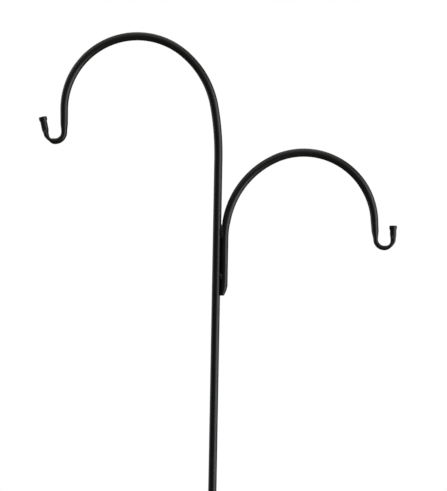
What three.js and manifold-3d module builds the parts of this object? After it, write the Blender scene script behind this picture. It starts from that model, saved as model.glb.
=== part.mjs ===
// Double shepherd's hook: a push-in garden pole with two arched arms that end in small outward hooks, for
// hanging feeders, baskets and lanterns. Three round steel bars are bent and welded side by side.
//
// Millimetres, +Z up. The origin is on the pole's axis at ground level, where the step of the foot rests.
// X runs in the plane of the hooks, with the lower arm on the +X side. Y is the thickness of the object.

import * as THREE from "three";
import { mergeVertices } from "three/addons/utils/BufferGeometryUtils.js";
import Module from "manifold-3d";

// Driving dimensions
const ROD_D = 12.7; // half-inch round bar
const OVERALL_LENGTH = 2134; // prong tips to the top of the taller crook, 84 inches
const PRONG_DEPTH = 265; // length of the prongs below ground level
const ARM_DROP = 173.3; // top of the taller crook down to the top of the lower one
const ARM_TAIL = 90; // straight stretch of the arm that lies against the pole
const PRONG_SPACING = 100; // between the axes of the two prongs
const STEP_TAIL = 100; // top of the second prong's tail above ground level
const GAP = 0.3; // clearance between pieces that touch

// Bends of the bars
const STEP_BEND_R = 22; // to the bar's axis
const UPPER_HOOK_R = 13.9;
const ARM_HOOK_R = 13.4;
const SEAT_ANGLE = 12; // turn over which the flat seat of a hook runs
const THINNEST_AT = 0.45; // place of a hook's thinnest section, as a share of the bend past the seat

// Sections of the bars, as shares of the rod's own thickness
const ARM_TAIL_SHARE = 0.86; // the arm's tail, pressed flatter where it is welded
const SPREAD = 0.45; // how much a bar widens for each share that it is squeezed

// Ends of the bars
const POINT_LENGTH = 42; // tapered point of a prong
const POINT_SHARE = 0.16; // thickness left at its tip
// Section left at the end of a tail, in the plane of the bends and across it
const TAIL_SHARES = [0.5, 0.8];
const TAIL_ROUND = 17.5; // rounded-off end of a tail that is welded to the pole
const LEAD_IN = 15; // stretch over which a bar thins before its hook
const LEAD_OUT = 7.5; // stretch over which it grows into the limb past the hook
const FLARE_LENGTH = 4; // stretch over which the limb spreads into its tip
const TIP_LENGTH = 4;
const RIM = 1.2; // rounding of the tip's rim

// Weld beads, each an ellipsoid laid in the groove between two bars. `up` is the height of a bead's middle
// over the arm's lower end, or over the ground for the beads of the foot.
const BEAD_WIDTH = 8.6;
const BEAD_DEPTH = 5.2;
const BEAD_SET_BACK = 3; // from the plane of the bars' axes to the middle of the bead
const ARM_BEADS = { upper: { up: 97, length: 21 }, lower: { up: 29, length: 10.5 } };
const STEP_BEADS = { upper: { up: 76, length: 20 }, lower: { up: 42, length: 20 } };

const ROD_R = ROD_D / 2;
const PITCH = ROD_D + GAP; // between the axes of two bars that lie side by side
const CROOK_TOP = OVERALL_LENGTH - PRONG_DEPTH;
const UP = Math.PI / 2;
const DOWN = -Math.PI / 2;

// Fineness of the faceted bars and beads
const SIDES = 16;
const FLATS_OUT = 1 / Math.cos(Math.PI / SIDES); // puts the facets, not the corners, on the round surface
const SAG = 0.12; // furthest that a chord from ring to ring leaves a bend's outer side
const TAIL_RINGS = 5;
const LEAD_RINGS = 4;
const FLARE_RINGS = 3;
const BEAD_FACETS = [18, 14];
const WELD_SHUT = 1e-4; // vertices closer than this are one

const rad = THREE.MathUtils.degToRad;
const smooth = (f) => f * f * (3 - 2 * f);
const roundOff = (f) => Math.sin((f * Math.PI) / 2);
const sinc = (angle) => (angle === 0 ? 1 : Math.sin(angle) / angle);

// Sections of a bar: evenly thinner or thicker all round, or squeezed in the plane of the bends and so
// spread across it.
const even = (share) => [share, share];
const squeezed = (share) => [share, 1 + SPREAD * (1 - share)];

// Steps of a bending plan. `section` is the bar's thickness at the end of the step, in the plane of the
// bends and across it, as shares of the rod's own. A step without one keeps the section it starts with.
function straight(length, section = null, rings = 1) {
  return { length, turn: 0, section, rings, ease: smooth, hug: 0 };
}

// The rounded-off end of a bar that is welded along a neighbour. It stays against that neighbour where it
// is thinner: hug is 1 for a neighbour on the left of the bar's heading, and -1 for one on the right.
function tailEnd(hug, section) {
  return { ...straight(TAIL_ROUND, section, TAIL_RINGS), ease: roundOff, hug };
}

// A positive angle turns left as seen from the front (-Y).
function bend(radius, degrees, section = null) {
  const turn = rad(degrees);
  const turnPerRing = 2 * Math.acos(1 - SAG / (radius + ROD_R));
  const rings = Math.ceil(Math.abs(turn) / turnPerRing);
  return { length: radius * Math.abs(turn), turn, section, rings, ease: smooth, hug: 0 };
}

// Place and heading of the bar's axis after a share of a step.
function along(from, step, share) {
  const turned = step.turn * share;
  const chord = step.length * share * sinc(turned / 2);
  return {
    x: from.x + chord * Math.cos(from.heading + turned / 2),
    z: from.z + chord * Math.sin(from.heading + turned / 2),
    heading: from.heading + turned,
  };
}

function endOf(start, steps) {
  return steps.reduce((place, step) => along(place, step, 1), start);
}

// The rings of a bar: place, heading and section along the bending plan.
function ringsOf(start, steps) {
  const rings = [];
  let place = start;
  for (const step of steps) {
    const [inPlane, across] = step.section ?? place.section;
    for (let i = rings.length ? 1 : 0; i <= step.rings; i++) {
      const share = i / step.rings;
      const eased = step.ease(share);
      const section = [
        THREE.MathUtils.lerp(place.section[0], inPlane, eased),
        THREE.MathUtils.lerp(place.section[1], across, eased),
      ];
      const shift = step.hug * (inPlane - section[0]) * ROD_R;
      rings.push({ ...along(place, step, share), section, shift });
    }
    place = rings[rings.length - 1];
  }
  return rings;
}

// The same surface with one vertex at each place, in place of one for each facet that meets there.
function closedUp(geometry) {
  const bare = geometry.clone();
  bare.deleteAttribute("normal");
  bare.deleteAttribute("uv");
  return mergeVertices(bare, WELD_SHUT);
}

// Turns a unit bar, one ring for each unit of height, and lays its rings along the bending plan. `grow`
// makes the bar fatter all round, to cut its clearance out of a neighbour.
function barGeometry(rings, grow = 0) {
  const outline = rings.map((_, i) => new THREE.Vector2(1, i));
  outline.unshift(new THREE.Vector2(0, 0));
  outline.push(new THREE.Vector2(0, rings.length - 1));
  const bar = new THREE.LatheGeometry(outline, SIDES, Math.PI / SIDES);
  const position = bar.getAttribute("position");
  for (let i = 0; i < position.count; i++) {
    const { x, z, heading, section, shift } = rings[Math.round(position.getY(i))];
    const left = position.getX(i) * (section[0] * ROD_R + grow) * FLATS_OUT + shift;
    const back = position.getZ(i) * (section[1] * ROD_R + grow) * FLATS_OUT;
    position.setXYZ(i, x - left * Math.sin(heading), back, z + left * Math.cos(heading));
  }
  const closed = closedUp(bar);
  closed.computeVertexNormals();
  return closed;
}

// The small hook at the end of an arm. The bar is squeezed thinner as it is bent, has a short flat seat
// where a hanger rests, is thinnest past the seat, and ends in a spread tip. `side` is 1 if the bend turns
// left, -1 if it turns right, `seatAt` is the turn at the middle of the seat, and `thickness` holds the
// shares of the rod's thickness that are left along the hook.
function hookSteps(radius, side, turn, seatAt, limb, thickness) {
  const intoSeat = seatAt - SEAT_ANGLE / 2;
  const past = turn - seatAt - SEAT_ANGLE / 2;
  return [
    straight(LEAD_IN, squeezed(thickness.start), LEAD_RINGS),
    bend(radius, side * intoSeat, squeezed(thickness.seat)),
    bend(radius, side * SEAT_ANGLE),
    bend(radius, side * past * THINNEST_AT, squeezed(thickness.thinnest)),
    bend(radius, side * past * (1 - THINNEST_AT), squeezed(thickness.end)),
    straight(LEAD_OUT, even(thickness.limb), FLARE_RINGS),
    straight(limb - LEAD_OUT - FLARE_LENGTH - TIP_LENGTH),
    straight(FLARE_LENGTH, even(thickness.tip), FLARE_RINGS),
    straight(TIP_LENGTH - RIM),
    straight(RIM, even(thickness.tip - (2 * RIM) / ROD_D)),
  ];
}

// Main pole: the first prong, the straight shank, the taller crook and its hook
const crookRise = [bend(420, 11), bend(136, 41), bend(110, 38)];
const crookFall = [bend(112, 60), bend(112, 31, squeezed(0.93)), straight(19.8, squeezed(0.9))];
const upperThickness = { start: 0.7, seat: 0.7, thinnest: 0.4, end: 0.6, limb: 0.81, tip: 1 };
const upperHook = hookSteps(UPPER_HOOK_R, -1, 168, 91, 27, upperThickness);
const shoulder = CROOK_TOP - ROD_R - endOf({ x: 0, z: 0, heading: UP }, crookRise).z;
const poleStart = { x: 0, z: -PRONG_DEPTH, heading: UP, section: even(POINT_SHARE) };
const poleRings = ringsOf(poleStart, [
  straight(POINT_LENGTH, even(1)),
  straight(shoulder + PRONG_DEPTH - POINT_LENGTH),
  ...crookRise,
  ...crookFall,
  ...upperHook,
]);

// Side arm: a tail against the right of the pole, the lower crook and its hook
const armRise = [bend(144.5, -14, even(1)), bend(130, -50), bend(106.3, -26)];
const armFall = [
  bend(108.5, -55),
  bend(108.5, -30.5, squeezed(0.93)),
  straight(16.5, squeezed(0.86)),
];
const armThickness = { start: 0.55, seat: 0.56, thinnest: 0.4, end: 0.62, limb: 0.77, tip: 0.92 };
const armHook = hookSteps(ARM_HOOK_R, 1, 176.5, 85.5, 21.1, armThickness);
const armShoulder = CROOK_TOP - ARM_DROP - ROD_R - endOf({ x: 0, z: 0, heading: UP }, armRise).z;
const armEnd = armShoulder - ARM_TAIL;
const armX = PITCH - (1 - ARM_TAIL_SHARE) * ROD_R;
const armStart = { x: armX, z: armEnd, heading: UP, section: TAIL_SHARES };
const armRings = ringsOf(armStart, [
  tailEnd(1, squeezed(ARM_TAIL_SHARE)),
  straight(ARM_TAIL - TAIL_ROUND),
  ...armRise,
  ...armFall,
  ...armHook,
]);

// Step prong: a tail against the right of the pole, the step at ground level and the second prong
const stepRun = PRONG_SPACING - PITCH - 2 * STEP_BEND_R;
const stepStart = { x: PITCH, z: STEP_TAIL, heading: DOWN, section: TAIL_SHARES };
const stepRings = ringsOf(stepStart, [
  tailEnd(-1, even(1)),
  straight(STEP_TAIL - TAIL_ROUND - STEP_BEND_R - ROD_R),
  bend(STEP_BEND_R, 90),
  straight(stepRun),
  bend(STEP_BEND_R, -90),
  straight(PRONG_DEPTH + ROD_R - STEP_BEND_R - POINT_LENGTH),
  straight(POINT_LENGTH, even(POINT_SHARE)),
]);

const wasm = await Module();
wasm.setup();

function solidOf(geometry) {
  const merged = closedUp(geometry);
  return new wasm.Manifold(
    new wasm.Mesh({
      numProp: 3,
      vertProperties: merged.attributes.position.array,
      triVerts: new Uint32Array(merged.index.array),
    }),
  );
}

function geometryOf(solid) {
  const mesh = solid.getMesh();
  const geometry = new THREE.BufferGeometry();
  geometry.setAttribute("position", new THREE.BufferAttribute(mesh.vertProperties, mesh.numProp));
  geometry.setIndex(new THREE.BufferAttribute(mesh.triVerts, 1));
  geometry.computeVertexNormals();
  return geometry;
}

// A bead of weld metal in the groove between the pole and a bar beside it. `side` is -1 on the front and 1
// on the back.
function beadGeometry(z, length, side, neighbours) {
  const bead = new THREE.SphereGeometry(0.5, ...BEAD_FACETS);
  bead.scale(BEAD_WIDTH, BEAD_DEPTH, length);
  bead.translate(PITCH / 2, side * BEAD_SET_BACK, z);
  return geometryOf(neighbours.reduce((left, bar) => left.subtract(bar), solidOf(bead)));
}

function blackPaint() {
  return new THREE.MeshStandardMaterial({ color: 0x1d1d1c, roughness: 0.42, metalness: 0 });
}

function weldPaint() {
  return new THREE.MeshStandardMaterial({ color: 0x1f1f1e, roughness: 0.5, metalness: 0 });
}

const shepherdsHook = new THREE.Group();

function addPiece(name, geometry, material) {
  const piece = new THREE.Mesh(geometry, material);
  piece.name = name;
  shepherdsHook.add(piece);
}

const FACES = { front: -1, back: 1 };

function addBeads(prefix, beads, base, neighbours) {
  for (const [place, bead] of Object.entries(beads)) {
    for (const [face, side] of Object.entries(FACES)) {
      const geometry = beadGeometry(base + bead.up, bead.length, side, neighbours);
      addPiece(`${prefix}_weld_${place}_${face}`, geometry, weldPaint());
    }
  }
}

addPiece("main_pole", barGeometry(poleRings), blackPaint());
addPiece("side_arm", barGeometry(armRings), blackPaint());
addPiece("step_prong", barGeometry(stepRings), blackPaint());

const [poleCutter, armCutter, stepCutter] = [poleRings, armRings, stepRings].map(
  (rings) => solidOf(barGeometry(rings, GAP)),
);
addBeads("arm", ARM_BEADS, armEnd, [poleCutter, armCutter]);
addBeads("step", STEP_BEADS, 0, [poleCutter, stepCutter]);

export default shepherdsHook;
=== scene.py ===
"""Double shepherd's hook pole: three bent steel bars, welded side by side and powder-coated satin black.

Metres, +Z up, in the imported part's frame. The bars follow the part's bending plans as smooth forged
surfaces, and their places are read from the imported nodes. X runs in the plane of the hooks, and Y is the
thickness of the object.
"""

import math

import bpy
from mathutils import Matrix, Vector, noise


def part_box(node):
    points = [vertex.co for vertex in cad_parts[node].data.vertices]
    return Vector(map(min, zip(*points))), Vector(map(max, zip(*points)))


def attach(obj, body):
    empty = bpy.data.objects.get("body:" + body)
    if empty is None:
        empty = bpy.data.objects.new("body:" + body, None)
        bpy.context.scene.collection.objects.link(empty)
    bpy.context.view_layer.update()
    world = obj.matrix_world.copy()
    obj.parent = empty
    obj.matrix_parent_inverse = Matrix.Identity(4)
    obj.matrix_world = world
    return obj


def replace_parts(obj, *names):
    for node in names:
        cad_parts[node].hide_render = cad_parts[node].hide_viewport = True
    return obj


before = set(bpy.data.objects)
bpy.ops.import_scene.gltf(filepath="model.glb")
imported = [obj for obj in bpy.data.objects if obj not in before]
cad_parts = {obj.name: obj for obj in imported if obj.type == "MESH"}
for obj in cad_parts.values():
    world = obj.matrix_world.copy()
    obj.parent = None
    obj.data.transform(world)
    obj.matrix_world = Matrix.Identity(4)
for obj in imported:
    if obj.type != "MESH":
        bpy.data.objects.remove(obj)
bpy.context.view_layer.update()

MM = 0.001
UP = math.pi / 2
DOWN = -math.pi / 2

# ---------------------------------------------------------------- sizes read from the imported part
POLE_LOW, POLE_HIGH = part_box("main_pole")
ARM_LOW, ARM_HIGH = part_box("side_arm")
STEP_LOW, STEP_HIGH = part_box("step_prong")
ROD_R = (STEP_HIGH.y - STEP_LOW.y) / 2
GROOVE_X = (STEP_LOW.x + ROD_R) / 2  # where the pole and a bar that lies against it meet
STEP_X = STEP_LOW.x + ROD_R
PRONG_X = STEP_HIGH.x - ROD_R
STEP_Z = ROD_R  # axis of the step, which rests on the ground

# ---------------------------------------------------------------- bending plans, in metres and degrees
# Crooks: the bends up to the top, then the two bends down the other side, each as the radius to the bar's
# axis and the turn. A straight leg follows, with its share of the rod's thickness at the lower end.
POLE_CROOK = dict(
    rise=((420 * MM, 11), (136 * MM, 41), (110 * MM, 38)),
    fall=((112 * MM, 60), (112 * MM, 31)),
    leg=19.8 * MM,
    leg_share=0.9,
)
ARM_CROOK = dict(
    rise=((144.5 * MM, 14), (130 * MM, 50), (106.3 * MM, 26)),
    fall=((108.5 * MM, 55), (108.5 * MM, 30.5)),
    leg=16.5 * MM,
    leg_share=0.86,
)
FALL_SHARE = 0.93  # thickness where a crook ends and its leg begins

# Hooks: `seat_at` is the turn at the middle of the seat. `shares` holds the shares of the rod's thickness
# at the start, the seat, the thinnest place and the end of the bend, and then in the limb and its tip.
POLE_HOOK = dict(
    radius=13.9 * MM, turn=168, seat_at=91, limb=27 * MM, shares=(0.7, 0.7, 0.4, 0.6, 0.81, 1)
)
ARM_HOOK = dict(
    radius=13.4 * MM, turn=176.5, seat_at=85.5, limb=21.1 * MM, shares=(0.55, 0.56, 0.4, 0.62, 0.77, 0.92)
)
SEAT_ANGLE = 12  # turn over which the flat seat of a hook runs
THINNEST_AT = 0.45  # place of a hook's thinnest section, as a share of the bend past the seat
LEAD_IN = 15 * MM  # stretch over which a bar thins before its hook
LEAD_OUT = 7.5 * MM  # stretch over which it grows into the limb past the hook
FLARE_LENGTH = 4 * MM
TIP_LENGTH = 4 * MM

STEP_BEND_R = 22 * MM

# ---------------------------------------------------------------- ends and sections of the bars
ARM_TAIL_SHARE = 0.86  # the arm's tail, pressed flatter where it is welded
ARM_TAIL_X = ARM_LOW.x + ARM_TAIL_SHARE * ROD_R  # axis of the arm's tail
SPREAD = 0.45  # how much a bar widens for each share that it is squeezed
BOXINESS = 1.6  # how fast a squeezed section goes from round to flat-sided
POINT_LENGTH = 42 * MM
POINT_SHARE = 0.16  # thickness left at the tip of a prong
TAIL_SECTION = (0.5, 0.8)  # section left at the end of a tail, in the plane of the bends and across it
TAIL_ROUND = 17.5 * MM
RIM = 1.2 * MM  # rounding of an end's rim
RIM_SHARE = 0.9  # most of a thin end's thickness that the rounding may take
CAP_DOME = 0.15 * MM
END_CAP = RIM + CAP_DOME  # room for the rounded end of a bar

# How much the rings of each stretch show the hammer, from 0 to 1
FORGED_HOOK = 1
FORGED_LIMB_START = 0.6
FORGED_LIMB = 0.4
FORGED_TAIL = 0.4

# ---------------------------------------------------------------- fineness of the surfaces
SIDES = 40
LONG_PITCH = 3 * MM  # between rings of a plain stretch
FINE_PITCH = 0.8 * MM  # between rings of a hook or an end
CAP_RINGS = 5
CAP_FACE = (0.75, 0.5, 0.25)  # rings on the flat of an end, as shares of its thickness
THINNEST = 0.02 * MM  # no ring is thinner than this

# ---------------------------------------------------------------- unevenness of the bars
BAR_WAVE = 0.045 * MM
BAR_WAVE_PER_M = 70
DENT = 0.22 * MM  # hammer marks where a bar was squeezed
DENT_LEVEL = 0.35  # noise above this leaves the surface whole
DENTS_PER_M = 190


def steady(f):
    return f


def smooth(f):
    return f * f * (3 - 2 * f)


def round_off(f):
    return math.sin(f * math.pi / 2)


def even(share):
    return (share, share)


def squeezed(share):
    return (share, 1 + SPREAD * (1 - share))


# ---------------------------------------------------------------- steps of a bending plan
def straight(length, section=None, pitch=LONG_PITCH, ease=smooth, hug=0, forged=0):
    """A straight step. It ends with `section`, or keeps the section that it starts with."""
    return dict(length=length, turn=0, section=section, pitch=pitch, ease=ease, hug=hug, forged=forged)


def bend(radius, degrees, section=None, pitch=LONG_PITCH, forged=0):
    """A positive angle turns left as seen from the front (-Y)."""
    turn = math.radians(degrees)
    step = straight(radius * abs(turn), section, pitch, forged=forged)
    step["turn"] = turn
    return step


def tail_end(hug, section):
    """The rounded-off end of a bar that is welded along a neighbour, on its left if hug is 1."""
    length = TAIL_ROUND - END_CAP
    return straight(length, section, pitch=FINE_PITCH, ease=round_off, hug=hug, forged=FORGED_TAIL)


def along(place, step, share):
    """Place and heading of the bar's axis after a share of a step."""
    turned = step["turn"] * share
    half = turned / 2
    chord = step["length"] * share * (math.sin(half) / half if half else 1)
    x, z, heading = place
    return (
        x + chord * math.cos(heading + half),
        z + chord * math.sin(heading + half),
        heading + turned,
    )


def height_of(steps):
    """How far a bar rises over these steps if it sets out straight up."""
    place = (0, 0, UP)
    for step in steps:
        place = along(place, step, 1)
    return place[1]


def rings_of(place, section, steps):
    """The rings of a bar: place and heading, section, sideways shift and how much it was forged."""
    rings = []
    forged = 0
    for step in steps:
        target = step["section"] or section
        count = max(2, math.ceil(step["length"] / step["pitch"]))
        for i in range(1 if rings else 0, count + 1):
            share = i / count
            eased = step["ease"](share)
            now = [a + (b - a) * eased for a, b in zip(section, target)]
            rings.append(dict(
                at=along(place, step, share),
                section=now,
                shift=step["hug"] * (target[0] - now[0]) * ROD_R,
                forged=forged + (step["forged"] - forged) * smooth(share),
            ))
        place = along(place, step, 1)
        section = target
        forged = step["forged"]
    return rings


def crook_steps(side, rise, fall, leg, leg_share):
    """Steps up to the top of a crook, and those down to its hook. side is 1 if it turns left."""
    (high_radius, high_turn), (low_radius, low_turn) = fall
    up = [bend(radius, side * turn, even(1)) for radius, turn in rise]
    down = [
        bend(high_radius, side * high_turn),
        bend(low_radius, side * low_turn, squeezed(FALL_SHARE)),
        straight(leg, squeezed(leg_share)),
    ]
    return up, down


def hook_steps(side, radius, turn, seat_at, limb, shares):
    """The small hook at the end of a crook, squeezed thinner as it is bent, with a spread tip."""
    start, seat, thinnest, end, limb_share, tip_share = shares
    into_seat = seat_at - SEAT_ANGLE / 2
    past = turn - seat_at - SEAT_ANGLE / 2
    fine = dict(pitch=FINE_PITCH, forged=FORGED_HOOK)
    return [
        straight(LEAD_IN, squeezed(start), **fine),
        bend(radius, side * into_seat, squeezed(seat), **fine),
        bend(radius, side * SEAT_ANGLE, **fine),
        bend(radius, side * past * THINNEST_AT, squeezed(thinnest), **fine),
        bend(radius, side * past * (1 - THINNEST_AT), squeezed(end), **fine),
        straight(LEAD_OUT, even(limb_share), pitch=FINE_PITCH, forged=FORGED_LIMB_START),
        straight(limb - LEAD_OUT - FLARE_LENGTH - TIP_LENGTH, pitch=FINE_PITCH, forged=FORGED_LIMB),
        straight(FLARE_LENGTH, even(tip_share), **fine),
        straight(TIP_LENGTH - END_CAP, **fine),
    ]


# ---------------------------------------------------------------- the three bars
def pole_rings():
    rise, fall = crook_steps(1, **POLE_CROOK)
    shoulder = POLE_HIGH.z - ROD_R - height_of(rise)
    steps = [
        straight(POINT_LENGTH - END_CAP, even(1), ease=steady),
        straight(shoulder - POLE_LOW.z - POINT_LENGTH),
        *rise,
        *fall,
        *hook_steps(-1, **POLE_HOOK),
    ]
    return rings_of((0, POLE_LOW.z + END_CAP, UP), even(POINT_SHARE), steps)


def arm_rings():
    rise, fall = crook_steps(-1, **ARM_CROOK)
    shoulder = ARM_HIGH.z - ROD_R - height_of(rise)
    steps = [
        tail_end(1, squeezed(ARM_TAIL_SHARE)),
        straight(shoulder - ARM_LOW.z - TAIL_ROUND),
        *rise,
        *fall,
        *hook_steps(1, **ARM_HOOK),
    ]
    return rings_of((ARM_TAIL_X, ARM_LOW.z + END_CAP, UP), TAIL_SECTION, steps)


def step_rings():
    steps = [
        tail_end(-1, even(1)),
        straight(STEP_HIGH.z - TAIL_ROUND - STEP_BEND_R - STEP_Z),
        bend(STEP_BEND_R, 90, pitch=FINE_PITCH),
        straight(PRONG_X - STEP_X - 2 * STEP_BEND_R),
        bend(STEP_BEND_R, -90, pitch=FINE_PITCH),
        straight(STEP_Z - STEP_BEND_R - STEP_LOW.z - POINT_LENGTH),
        straight(POINT_LENGTH - END_CAP, even(POINT_SHARE), ease=steady),
    ]
    return rings_of((STEP_X, STEP_HIGH.z - END_CAP, DOWN), TAIL_SECTION, steps)


# ---------------------------------------------------------------- surfaces of the bars
def ring_points(ring, shrink=0.0, ahead=0.0):
    """Points of one ring, taken in all round by `shrink` and moved along the bar by `ahead`."""
    x, z, heading = ring["at"]
    in_plane, across = (max(share * ROD_R - shrink, THINNEST) for share in ring["section"])
    boxy = 2 + BOXINESS * max(0, 1 - ring["section"][0]) * ring["forged"]
    x += ahead * math.cos(heading)
    z += ahead * math.sin(heading)
    points = []
    for i in range(SIDES):
        angle = 2 * math.pi * i / SIDES
        c, s = math.cos(angle), math.sin(angle)
        reach = (abs(c) ** boxy + abs(s) ** boxy) ** (-1 / boxy)
        left = c * reach * in_plane + ring["shift"]
        back = s * reach * across
        points.append(Vector((x - left * math.sin(heading), back, z + left * math.cos(heading))))
    return points


def cap_points(ring, way):
    """Rings that round off an end of a bar and close in on its middle.

    `way` is 1 past the last ring of the bar, and -1 before the first.
    """
    thin = min(ring["section"]) * ROD_R
    rounding = min(RIM, thin * RIM_SHARE)
    made = []
    for i in range(1, CAP_RINGS + 1):
        angle = i / CAP_RINGS * math.pi / 2
        shrink = rounding * (1 - math.cos(angle))
        made.append(ring_points(ring, shrink, way * rounding * math.sin(angle)))
    for share in CAP_FACE:
        shrink = rounding + (thin - rounding) * (1 - share)
        made.append(ring_points(ring, shrink, way * (rounding + CAP_DOME * (1 - share))))
    return made


def worn(points, ring):
    """The same points with the small unevenness of a drawn bar, and dents where it was forged."""
    middle = sum(points, Vector()) / len(points)
    moved = []
    for p in points:
        out = (p - middle).normalized()
        wave = noise.noise(p * BAR_WAVE_PER_M) * BAR_WAVE
        dent = (abs(noise.noise(p * DENTS_PER_M)) - DENT_LEVEL) * DENT * ring["forged"]
        moved.append(p + out * min(wave + dent, 0))
    return moved


def bar(name, rings):
    first, last = rings[0], rings[-1]
    loops = [worn(points, first) for points in reversed(cap_points(first, -1))]
    loops += [worn(ring_points(ring), ring) for ring in rings]
    loops += [worn(points, last) for points in cap_points(last, 1)]
    return skin(name, loops)


def skin(name, loops):
    """A closed mesh through loops of points, shut at both ends by fans."""
    sides = len(loops[0])
    points = [p for loop in loops for p in loop]
    faces = []
    for i in range(len(loops) - 1):
        for j in range(sides):
            k = (j + 1) % sides
            faces.append((i * sides + j, (i + 1) * sides + j, (i + 1) * sides + k, i * sides + k))
    first, last = len(points), len(points) + 1
    points.append(sum(loops[0], Vector()) / sides)
    points.append(sum(loops[-1], Vector()) / sides)
    end = (len(loops) - 1) * sides
    for j in range(sides):
        k = (j + 1) % sides
        faces.append((first, j, k))
        faces.append((last, end + k, end + j))
    mesh = bpy.data.meshes.new(name)
    mesh.from_pydata(points, [], faces)
    mesh.update()
    mesh.shade_smooth()
    return place_object(name, mesh)


def place_object(name, data):
    made = bpy.data.objects.new(name, data)
    bpy.context.scene.collection.objects.link(made)
    return made


def reversed_loops(loops):
    """The same loops run the other way round, which turns the faces of their skin over."""
    return [list(reversed(loop)) for loop in loops]


# ---------------------------------------------------------------- weld beads
BEAD_HALF_WIDTH = 2.9 * MM
BEAD_LEAST = 0.3 * MM  # half width at its two ends
BEAD_WANDER = 0.08  # how much the width varies, as a share
BEAD_WANDER_PER_M = 300
BEAD_CROWN = 0.08 * MM  # how far a bead stands proud of the line between its two toes
BEAD_ROUGH = 0.12 * MM
BEAD_ROUGH_PER_M = 900
BEAD_ROUGH_ACROSS = 4
RIPPLE = 0.2 * MM
RIPPLE_PITCH = 2.3 * MM
RIPPLE_BOW = 1.6 * MM  # how far the middle of a ripple runs ahead of its ends
BEAD_PITCH = 0.3 * MM
BEAD_ACROSS = 16
BEAD_UNDER = 8
TOE_BURIED = 0.2 * MM  # how deep a bead's hidden side lies in the bars


def surface_depth(x, share):
    """How far the bars' surface stands from the plane of their axes: the pole's, then its neighbour's."""
    if x < GROOVE_X:
        return math.sqrt(max(ROD_R**2 - x * x, 0))
    in_plane, across = (s * ROD_R for s in squeezed(share))
    off = (x - ARM_LOW.x - in_plane) / in_plane
    return across * math.sqrt(max(1 - off * off, 0))


def bead(name, low, high, side, share):
    """A rippled bead between the pole and a bar with this share of its thickness. side is -1 in front."""
    middle, half = (low.z + high.z) / 2, (high.z - low.z) / 2
    count = math.ceil(2 * half / BEAD_PITCH)
    loops = []
    for i in range(1, count):
        t = -math.cos(math.pi * i / count)
        z = middle + half * t
        wide = BEAD_HALF_WIDTH * (1 - abs(t) ** 3) ** 0.5
        wide *= 1 + BEAD_WANDER * noise.noise(Vector((0, side * 3, z * BEAD_WANDER_PER_M)))
        loops.append(bead_section(max(wide, BEAD_LEAST), z, side, share))
    return skin(name, loops if side < 0 else reversed_loops(loops))


def bead_section(wide, z, side, share):
    fullness = wide / BEAD_HALF_WIDTH
    toes = [surface_depth(GROOVE_X + end * wide, share) for end in (-1, 1)]
    points = []
    for i in range(BEAD_ACROSS + 1):
        u = -1 + 2 * i / BEAD_ACROSS
        z_here = z - RIPPLE_BOW * (1 - u * u) * fullness
        ripple = abs(math.sin(math.pi * z_here / RIPPLE_PITCH)) * RIPPLE
        rough = noise.noise(Vector((u * BEAD_ROUGH_ACROSS, side, z * BEAD_ROUGH_PER_M))) * BEAD_ROUGH
        line = (toes[0] * (1 - u) + toes[1] * (1 + u)) / 2
        proud = (BEAD_CROWN + ripple + rough) * (1 - u * u) * fullness
        points.append(Vector((GROOVE_X + u * wide, side * (line - TOE_BURIED * u * u + proud), z)))
    for i in range(1, BEAD_UNDER):
        u = 1 - 2 * i / BEAD_UNDER
        x = GROOVE_X + u * wide
        points.append(Vector((x, side * (surface_depth(x, share) - 2 * TOE_BURIED), z)))
    return points


# ---------------------------------------------------------------- coat that bridges the seams
SEAM_HALF_DEPTH = 2.2 * MM  # how far from the plane of the axes the coat reaches
SEAM_END_DEPTH = 0.5  # share of that at its ends
SEAM_END_RINGS = 6  # rings over which it gets there
SEAM_WANDER = 0.15  # how much the depth varies, as a share
SEAM_WANDER_PER_M = 120
SEAM_BURIED = 0.15 * MM
SEAM_PITCH = 0.8 * MM
SEAM_ROWS = 6
FILLET = 0.9 * MM  # how much wider it gets at the end of the bar's tail
FILLET_LENGTH = 2.5 * MM


def seam(name, low, high, tail_end_z):
    """Coat that has run together in the seam between the pole and the bar welded along it."""
    count = math.ceil((high - low) / SEAM_PITCH)
    rows = range(-SEAM_ROWS, SEAM_ROWS + 1)
    loops = []
    for i in range(count + 1):
        z = low + (high - low) * i / count
        taper = smooth(min(1, min(i, count - i) / SEAM_END_RINGS + SEAM_END_DEPTH))
        wander = SEAM_WANDER * noise.noise(Vector((2.0, 0, z * SEAM_WANDER_PER_M)))
        depth = SEAM_HALF_DEPTH * taper * (1 + wander)
        fillet = FILLET * max(0, 1 - abs(z - tail_end_z) / FILLET_LENGTH)
        loop = []
        for side, order in ((-1, rows), (1, reversed(rows))):
            for row in order:
                y = depth * row / SEAM_ROWS
                half = GROOVE_X - math.sqrt(ROD_R**2 - y * y) + SEAM_BURIED + fillet
                loop.append(Vector((GROOVE_X + side * half, y, z)))
        loops.append(loop)
    return skin(name, reversed_loops(loops))


# ---------------------------------------------------------------- materials
# Between these heights, in metres, the coat's colour goes from a painted cool light low on the pole to a
# painted warm light on the arms, as if lit warm from above and cool from below
COOL_BELOW = 1.3
WARM_ABOVE = 1.75
PAINTED_COOL_LIGHT = (0.42, 0.52, 0.82)
PAINTED_WARM_LIGHT = (0.6, 0.55, 0.42)


def add(nodes, kind, **inputs):
    """A new node with these inputs. An underscore in an input's name stands for a space."""
    node = nodes.new(kind)
    for key, value in inputs.items():
        node.inputs[key.replace("_", " ")].default_value = value
    return node


def new_material(name, **inputs):
    """A new material, its nodes and links, and its shader with these inputs."""
    material = bpy.data.materials.new(name)
    material.use_nodes = True
    nodes, links = material.node_tree.nodes, material.node_tree.links
    shader = nodes["Principled BSDF"]
    for key, value in inputs.items():
        shader.inputs[key.replace("_", " ")].default_value = value
    return material, nodes, links, shader


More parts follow.
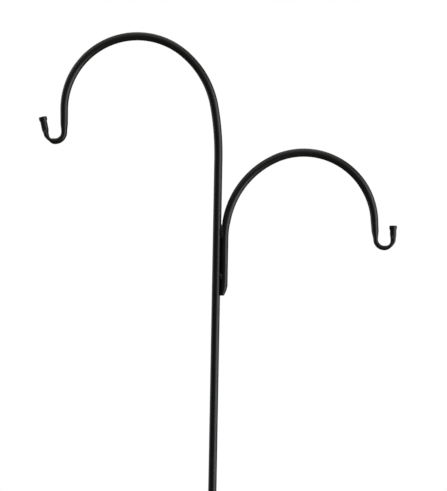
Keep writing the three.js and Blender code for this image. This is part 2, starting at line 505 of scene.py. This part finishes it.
def color_ramp(nodes, low, high, low_at=0.0, high_at=1.0):
    ramp = nodes.new("ShaderNodeValToRGB")
    for element, color, at in zip(ramp.color_ramp.elements, (low, high), (low_at, high_at)):
        element.position = at
        element.color = (*color, 1)
    return ramp


def gray(level):
    return (level, level, level)


def powder_coat(name, dark, light, rough_low, rough_high, peel):
    """Satin black powder coat over steel: mottled tone, painted warm light high up and cool light low
    down, uneven gloss and a fine orange peel.
    """
    material, nodes, links, shader = new_material(name, Specular_IOR_Level=0.5, IOR=1.5)
    where = nodes.new("ShaderNodeTexCoord").outputs["Object"]

    mottle = add(nodes, "ShaderNodeTexNoise", Scale=55.0, Detail=4.0, Roughness=0.6)
    tone = color_ramp(nodes, gray(dark), gray(light), 0.35, 0.68)
    links.new(where, mottle.inputs["Vector"])
    links.new(mottle.outputs["Fac"], tone.inputs["Fac"])

    # Painted light: the colour is tinted cooler low down and warmer high up, in place of warm light from
    # above and cool light from below
    height = nodes.new("ShaderNodeSeparateXYZ")
    painted_light_height = add(nodes, "ShaderNodeMapRange", From_Min=COOL_BELOW, From_Max=WARM_ABOVE)
    painted_light_height.interpolation_type = "SMOOTHSTEP"
    painted_light_ramp = color_ramp(nodes, PAINTED_COOL_LIGHT, PAINTED_WARM_LIGHT)
    painted_light_color = nodes.new("ShaderNodeVectorMath")
    painted_light_color.operation = "MULTIPLY"
    links.new(where, height.inputs["Vector"])
    links.new(height.outputs["Z"], painted_light_height.inputs["Value"])
    links.new(painted_light_height.outputs["Result"], painted_light_ramp.inputs["Fac"])
    links.new(tone.outputs["Color"], painted_light_color.inputs[0])
    links.new(painted_light_ramp.outputs["Color"], painted_light_color.inputs[1])
    links.new(painted_light_color.outputs["Vector"], shader.inputs["Base Color"])

    gloss = add(nodes, "ShaderNodeTexNoise", Scale=120.0, Detail=3.0, Roughness=0.55)
    spread = add(
        nodes, "ShaderNodeMapRange", From_Min=0.3, From_Max=0.7, To_Min=rough_low, To_Max=rough_high
    )
    links.new(where, gloss.inputs["Vector"])
    links.new(gloss.outputs["Fac"], spread.inputs["Value"])
    links.new(spread.outputs["Result"], shader.inputs["Roughness"])

    grain = add(nodes, "ShaderNodeTexNoise", Scale=850.0, Detail=2.0, Roughness=0.5)
    bump = add(nodes, "ShaderNodeBump", Strength=peel, Distance=0.15 * MM)
    links.new(where, grain.inputs["Vector"])
    links.new(grain.outputs["Fac"], bump.inputs["Height"])
    links.new(bump.outputs["Normal"], shader.inputs["Normal"])
    return material


black_coat = powder_coat(
    "satin_black_coat", dark=0.0068, light=0.014, rough_low=0.3, rough_high=0.4, peel=0.35
)
weld_coat = powder_coat(
    "coated_weld", dark=0.0072, light=0.016, rough_low=0.36, rough_high=0.48, peel=0.6
)


# ---------------------------------------------------------------- the pieces
def finished(piece, material):
    piece.data.materials.append(material)
    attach(piece, "root")
    return piece


for node, name, rings in (
    ("main_pole", "pole_bar", pole_rings()),
    ("side_arm", "arm_bar", arm_rings()),
    ("step_prong", "step_bar", step_rings()),
):
    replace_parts(finished(bar(name, rings), black_coat), node)

for prefix, share in (("arm_weld", ARM_TAIL_SHARE), ("step_weld", 1)):
    for place in ("upper", "lower"):
        for face, side in (("front", -1), ("back", 1)):
            node = f"{prefix}_{place}_{face}"
            piece = bead(f"{node}_bead", *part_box(node), side, share)
            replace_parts(finished(piece, weld_coat), node)

# The coat runs a little past the beads at the end of each seam that has no tail
ARM_SEAM_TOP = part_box("arm_weld_upper_front")[1].z + 2 * MM
STEP_SEAM_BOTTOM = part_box("step_weld_lower_front")[0].z - 6 * MM
for name, low, high, tail_end_z in (
    ("arm_seam_coat", ARM_LOW.z, ARM_SEAM_TOP, ARM_LOW.z),
    ("step_seam_coat", STEP_SEAM_BOTTOM, STEP_HIGH.z, STEP_HIGH.z),
):
    finished(seam(name, low, high, tail_end_z), black_coat)


# ---------------------------------------------------------------- floor, lights and camera
FLOOR_R = 5.0
FLOOR_FADE_FROM = 1.0
FLOOR_SIDES = 96
FLOOR_Z = POLE_LOW.z - 2 * MM
SUBJECT = Vector((10.25 * MM, 0, POLE_HIGH.z - 324 * MM))  # what the camera aims at
FRAME_HEIGHT = 751.2 * MM  # at the object; the height is the longer side, so the sensor's width spans it
LENS_MM = 110
SENSOR_MM = 36
ROLL = math.radians(1.046)
WHITE = (1, 1, 1, 1)

# Name, azimuth and elevation in degrees, distance, width, height and luminance. Azimuth 0 is the camera's
# side, and 90 is the right.
SOFTBOXES = (
    ("key_softbox", 66, 0, 2.6, 3.0, 3.5, 2.15),
    ("top_softbox", 150, 78, 2.4, 2.4, 2.4, 1.0),
    ("front_softbox", 10, 50, 2.5, 3.0, 1.8, 0.5),
    ("left_softbox", 285, 48, 2.4, 1.8, 1.6, 0.8),
    ("back_softbox", 250, 10, 3.0, 2.0, 3.2, 1.0),
)


def floor():
    """A pale round floor that fades out far from the pole."""
    angles = [2 * math.pi * i / FLOOR_SIDES for i in range(FLOOR_SIDES)]
    points = [Vector((FLOOR_R * math.cos(a), FLOOR_R * math.sin(a), FLOOR_Z)) for a in angles]
    mesh = bpy.data.meshes.new("floor")
    mesh.from_pydata(points, [], [tuple(range(FLOOR_SIDES))])
    piece = place_object("floor", mesh)
    material, nodes, links, shader = new_material(
        "pale_floor",
        Base_Color=(0.04, 0.04, 0.04, 1),
        Roughness=0.9,
        Specular_IOR_Level=0.0,
        Emission_Color=WHITE,
        Emission_Strength=0.94,
    )
    where = nodes.new("ShaderNodeTexCoord")
    distance = nodes.new("ShaderNodeVectorMath")
    distance.operation = "LENGTH"
    fade = add(
        nodes, "ShaderNodeMapRange", From_Min=FLOOR_FADE_FROM, From_Max=FLOOR_R, To_Min=1.0, To_Max=0.0
    )
    fade.interpolation_type = "SMOOTHSTEP"
    links.new(where.outputs["Object"], distance.inputs[0])
    links.new(distance.outputs["Value"], fade.inputs["Value"])
    links.new(fade.outputs["Result"], shader.inputs["Alpha"])
    mesh.materials.append(material)
    piece.visible_diffuse = False  # it is only a backdrop, and lights nothing
    piece.visible_glossy = False


def softbox(name, azimuth, elevation, distance, width, height, luminance):
    """A soft panel that faces the subject, unseen by the camera."""
    a, e = math.radians(azimuth), math.radians(elevation)
    away = Vector((math.sin(a) * math.cos(e), -math.cos(a) * math.cos(e), math.sin(e)))
    light = bpy.data.lights.new(name, "AREA")
    light.shape = "RECTANGLE"
    light.size = width
    light.size_y = height
    light.energy = luminance * math.pi * width * height
    lamp = place_object(name, light)
    lamp.location = SUBJECT + away * distance
    lamp.rotation_euler = away.to_track_quat("Z", "Y").to_euler()
    lamp.visible_camera = False


def white_world():
    """White to the camera, and dim to the object."""
    world = bpy.data.worlds.new("studio")
    bpy.context.scene.world = world
    world.use_nodes = True
    nodes, links = world.node_tree.nodes, world.node_tree.links
    nodes.clear()
    out = nodes.new("ShaderNodeOutputWorld")
    seen = add(nodes, "ShaderNodeBackground", Color=WHITE, Strength=1.0)
    dim = add(nodes, "ShaderNodeBackground", Color=WHITE, Strength=0.1)
    choose = nodes.new("ShaderNodeMixShader")
    path = nodes.new("ShaderNodeLightPath")
    links.new(path.outputs["Is Camera Ray"], choose.inputs["Fac"])
    links.new(dim.outputs["Background"], choose.inputs[1])
    links.new(seen.outputs["Background"], choose.inputs[2])
    links.new(choose.outputs["Shader"], out.inputs["Surface"])


def camera():
    data = bpy.data.cameras.new("camera")
    data.lens = LENS_MM
    data.sensor_width = SENSOR_MM
    data.clip_end = 100
    view = place_object("camera", data)
    view.location = SUBJECT - Vector((0, FRAME_HEIGHT * LENS_MM / SENSOR_MM, 0))
    view.rotation_euler = (math.pi / 2, -ROLL, 0)
    bpy.context.scene.camera = view


floor()
white_world()
for panel in SOFTBOXES:
    softbox(*panel)
camera()
bpy.context.scene.view_settings.view_transform = "Standard"
